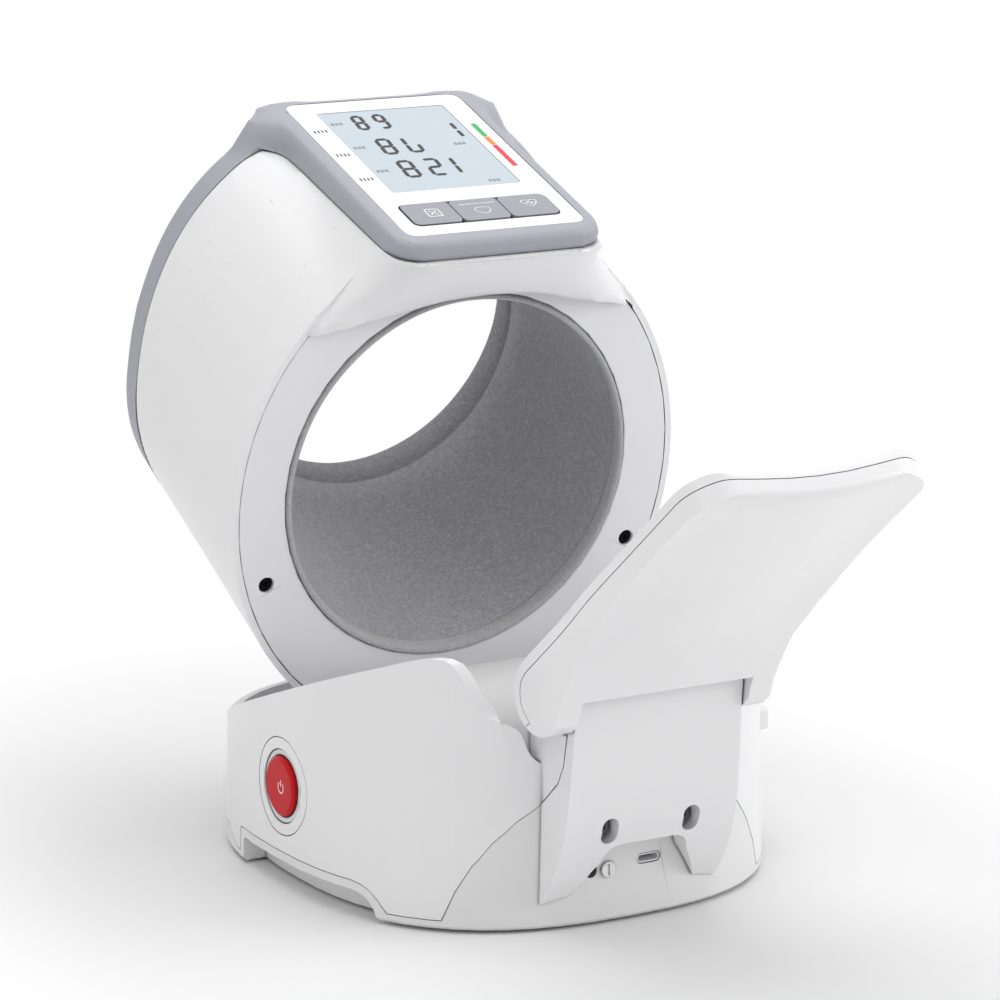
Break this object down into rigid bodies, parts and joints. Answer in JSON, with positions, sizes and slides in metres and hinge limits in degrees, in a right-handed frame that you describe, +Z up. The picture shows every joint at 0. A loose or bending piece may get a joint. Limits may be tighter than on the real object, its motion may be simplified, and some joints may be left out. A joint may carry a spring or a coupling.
{
  "type": "arm-in blood pressure monitor",
  "caption": "Arm-in blood pressure monitor: a cloth-lined cuff tunnel under a sloping display tilts in an oval tub base, with a folding elbow rest in front.",
  "frame": {"origin": "middle of the object's box, on the surface that it stands on", "axes": "+Z up; +Y from the elbow rest towards the shoulder side of the cuff tunnel; +X to the right of a viewer who faces the mouth of the tunnel"},
  "size_m": [0.185, 0.3256, 0.261],
  "materials": {
    "gloss_white": "smooth moulded, soft gloss",
    "satin_white": "fine satin moulding",
    "trim_grey": "satin grey moulding",
    "panel_white": "printed front panel",
    "key_grey": "soft satin",
    "liner_fabric": "knitted cloth",
    "start_red": "gloss red",
    "black_rubber": "matte rubber",
    "clear_window": "clear, polished",
    "lcd_glass": "liquid crystal display",
    "light_ring": "translucent",
    "steel": "plated steel",
    "circuit_green": "lacquered board",
    "black_plastic": "satin black",
    "cell_wrap": "printed film wrap, bare"
  },
  "bodies": {
    "base": {"air_pump": "black_plastic", "base_cover": "gloss_white", "base_screw_1": "steel", "base_screw_2": "steel", "base_screw_3": "steel", "base_screw_4": "steel", "base_tray": "satin_white", "battery_cell_1": "cell_wrap", "battery_cell_2": "cell_wrap", "battery_cell_3": "cell_wrap", "battery_cell_4": "cell_wrap", "battery_contact_front": "steel", "battery_contact_rear": "steel", "bracket": "gloss_white", "bracket_screw_left": "steel", "bracket_screw_right": "steel", "exhaust_valve": "black_plastic", "foot_1": "black_rubber", "foot_2": "black_rubber", "foot_3": "black_rubber", "foot_4": "black_rubber", "friction_washer_left": "black_plastic", "friction_washer_right": "black_plastic", "main_board": "circuit_green", "port_plug": "gloss_white", "power_socket": "black_plastic", "start_bezel": "gloss_white", "start_board": "circuit_green", "start_light_ring": "light_ring", "tilt_shaft": "steel", "usb_socket": "gloss_white"},
    "barrel": {"barrel_shell": "gloss_white", "face_ring": "gloss_white", "rear_cover": "trim_grey", "fabric_liner": "liner_fabric", "air_bladder": "black_rubber", "cuff_core": "satin_white", "tilt_knuckle": "gloss_white", "face_screw_left": "steel", "face_screw_right": "steel", "display_panel": "panel_white", "lcd_window": "clear_window", "lcd_module": "lcd_glass", "display_board": "circuit_green"},
    "rest": {"rest_upper_shell": "gloss_white", "rest_lower_shell": "gloss_white", "rest_hinge_pin": "steel"},
    "battery_door": {"battery_door": "satin_white"},
    "start_button": {"start_button": "start_red"},
    "tilt_release": {"tilt_release": "gloss_white"},
    "key_1": {"key_1": "key_grey"},
    "key_2": {"key_2": "key_grey"},
    "key_3": {"key_3": "key_grey"}
  },
  "joints": [
    {"name": "barrel_tilt", "type": "hinge", "parent": "base", "child": "barrel", "pos_m": [0, 0.06098, 0.044], "axis": [-1, 0, 0], "range_deg": [0, 14]},
    {"name": "rest_fold", "type": "hinge", "parent": "base", "child": "rest", "pos_m": [0, -0.06142, 0.0897], "axis": [-1, 0, 0], "range_deg": [0, 60]},
    {"name": "start_press", "type": "slide", "parent": "base", "child": "start_button", "axis": [1, 0, 0], "range_m": [0, 0.0012], "stiffness_N_per_m": 500, "springref_m": -0.0006},
    {"name": "release_press", "type": "slide", "parent": "base", "child": "tilt_release", "axis": [-1, 0, 0], "range_m": [0, 0.0025], "stiffness_N_per_m": 400, "springref_m": -0.0008},
    {"name": "battery_door_slide", "type": "slide", "parent": "base", "child": "battery_door", "axis": [0, 1, 0], "range_m": [0, 0.012]},
    {"name": "key_1_press", "type": "slide", "parent": "barrel", "child": "key_1", "axis": [0, 0.3437, -0.9391], "range_m": [0, 0.0005], "stiffness_N_per_m": 600, "springref_m": -0.0004},
    {"name": "key_2_press", "type": "slide", "parent": "barrel", "child": "key_2", "axis": [0, 0.3437, -0.9391], "range_m": [0, 0.0005], "stiffness_N_per_m": 600, "springref_m": -0.0004},
    {"name": "key_3_press", "type": "slide", "parent": "barrel", "child": "key_3", "axis": [0, 0.3437, -0.9391], "range_m": [0, 0.0005], "stiffness_N_per_m": 600, "springref_m": -0.0004}
  ]
}
